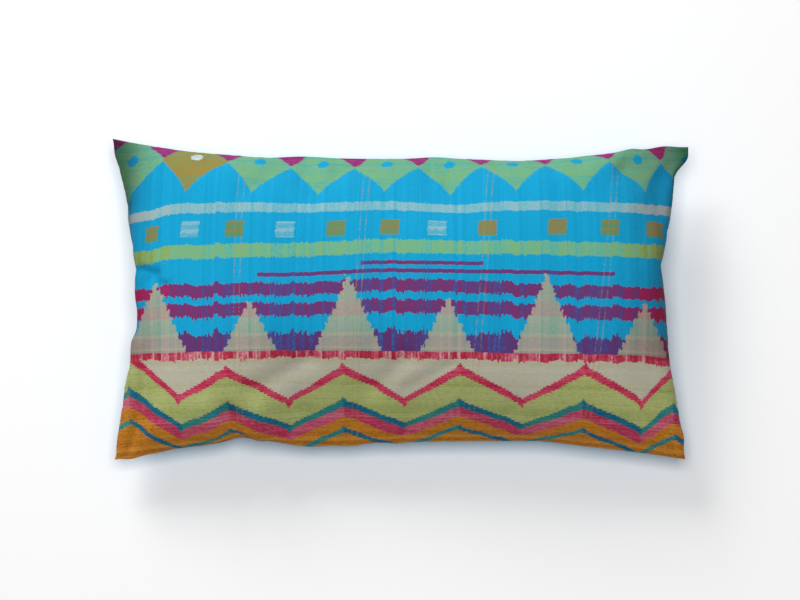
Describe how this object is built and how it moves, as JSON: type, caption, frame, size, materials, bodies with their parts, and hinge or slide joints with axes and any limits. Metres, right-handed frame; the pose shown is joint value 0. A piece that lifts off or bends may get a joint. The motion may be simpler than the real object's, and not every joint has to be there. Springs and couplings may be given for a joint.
{
  "type": "lumbar pillow",
  "caption": "Filled rectangular lumbar pillow with a knife-edge seam, drawn-in sides and pointed ears, lying on its back.",
  "frame": {"origin": "centre of the bounding box, on the face the pillow rests on", "axes": "+X along the long side, +Y across the face towards the side with the lozenge border, +Z through the thickness, out of the front panel"},
  "size_m": [0.541, 0.304, 0.1068],
  "materials": {
    "woven_cloth": "matte plain weave"
  },
  "bodies": {
    "root": {"pillow": "woven_cloth"}
  },
  "joints": []
}
